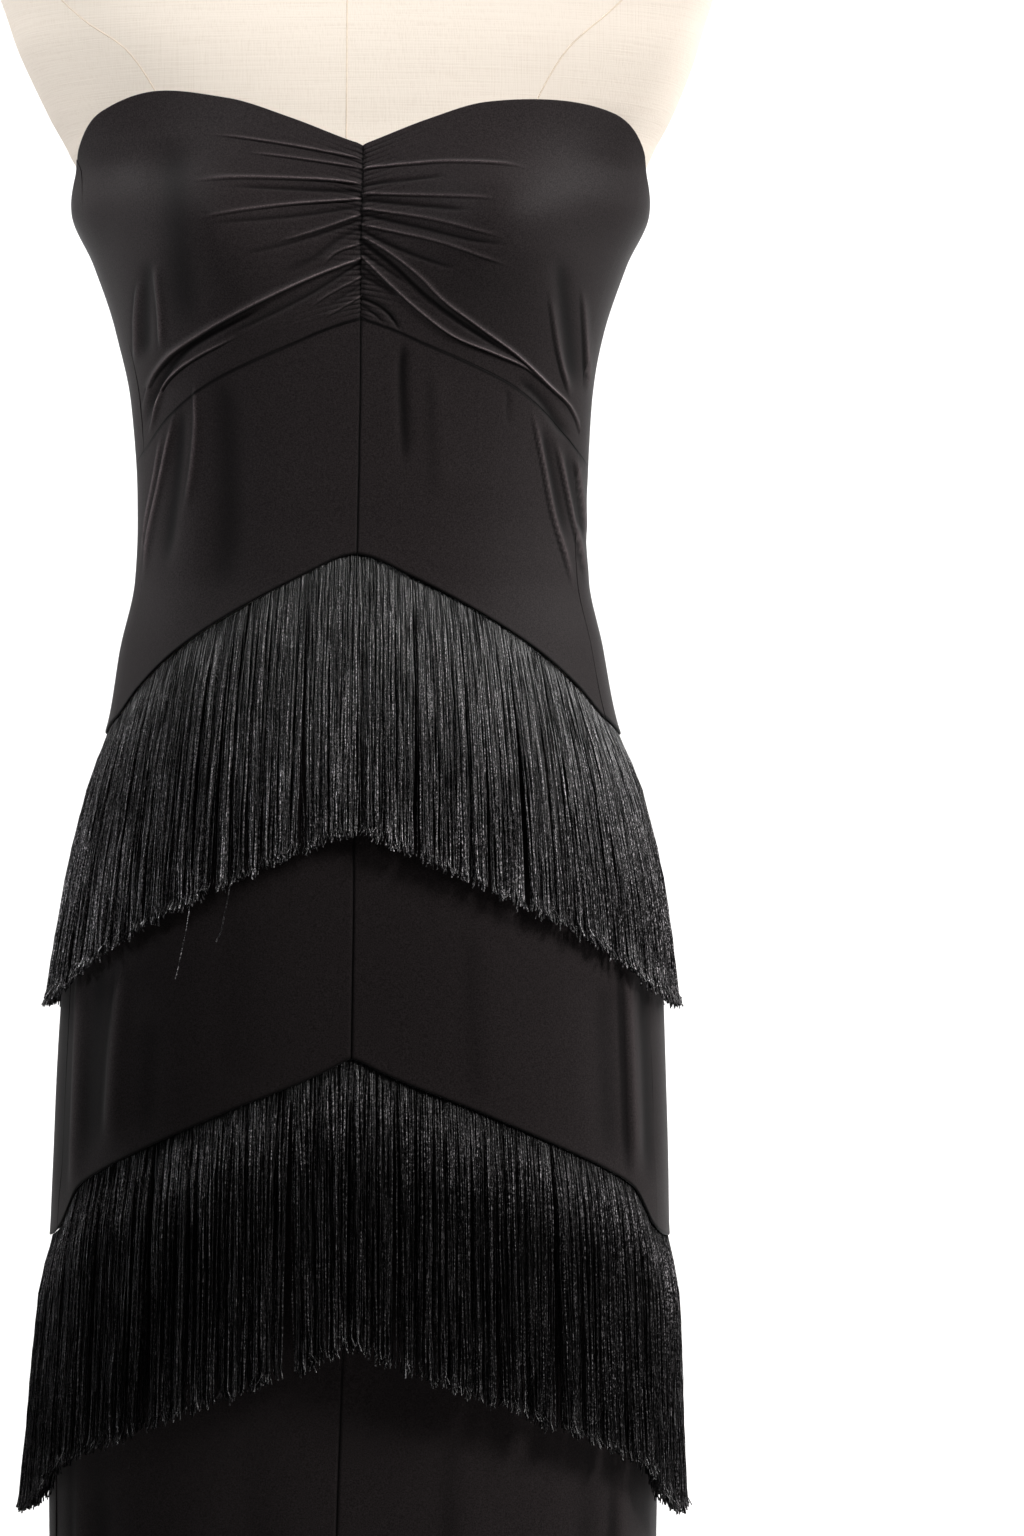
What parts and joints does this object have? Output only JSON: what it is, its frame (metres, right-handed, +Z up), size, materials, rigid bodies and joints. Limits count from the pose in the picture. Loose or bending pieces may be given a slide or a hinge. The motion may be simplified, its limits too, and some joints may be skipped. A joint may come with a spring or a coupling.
{
  "type": "fringe maxi dress on a limbless dress form",
  "caption": "Strapless long dress with a sweetheart neckline, a ruched bust, a fitted midriff and tiers of fringe hung from pointed seams, worn by a linen dress form on a pole and a round base",
  "frame": {"origin": "on the floor, under the middle of the pole, at the bottom centre of the bounding box", "axes": "+Z up, the front of the dress faces -Y, and the wearer's left side is at +X"},
  "size_m": [0.4011, 0.34, 1.5123],
  "materials": {
    "black_jersey": "matte satin stretch jersey",
    "black_fringe": "soft sheen twisted yarn",
    "cream_linen": "matte woven linen",
    "pale_wood": "satin",
    "grey_steel": "satin"
  },
  "bodies": {
    "root": {"bodice_front_left": "black_jersey", "bodice_front_right": "black_jersey", "bodice_back": "black_jersey", "midriff_front_left": "black_jersey", "midriff_front_right": "black_jersey", "midriff_back": "black_jersey", "skirt_front_left": "black_jersey", "skirt_front_right": "black_jersey", "skirt_back": "black_jersey", "lower_skirt_front_left": "black_jersey", "lower_skirt_front_right": "black_jersey", "lower_skirt_back": "black_jersey", "upper_fringe_front_left": "black_fringe", "upper_fringe_front_right": "black_fringe", "upper_fringe_back": "black_fringe", "lower_fringe_front_left": "black_fringe", "lower_fringe_front_right": "black_fringe", "lower_fringe_back": "black_fringe", "form_torso": "cream_linen", "form_neck_cap": "pale_wood", "form_pole": "grey_steel", "form_base": "grey_steel"}
  },
  "joints": []
}
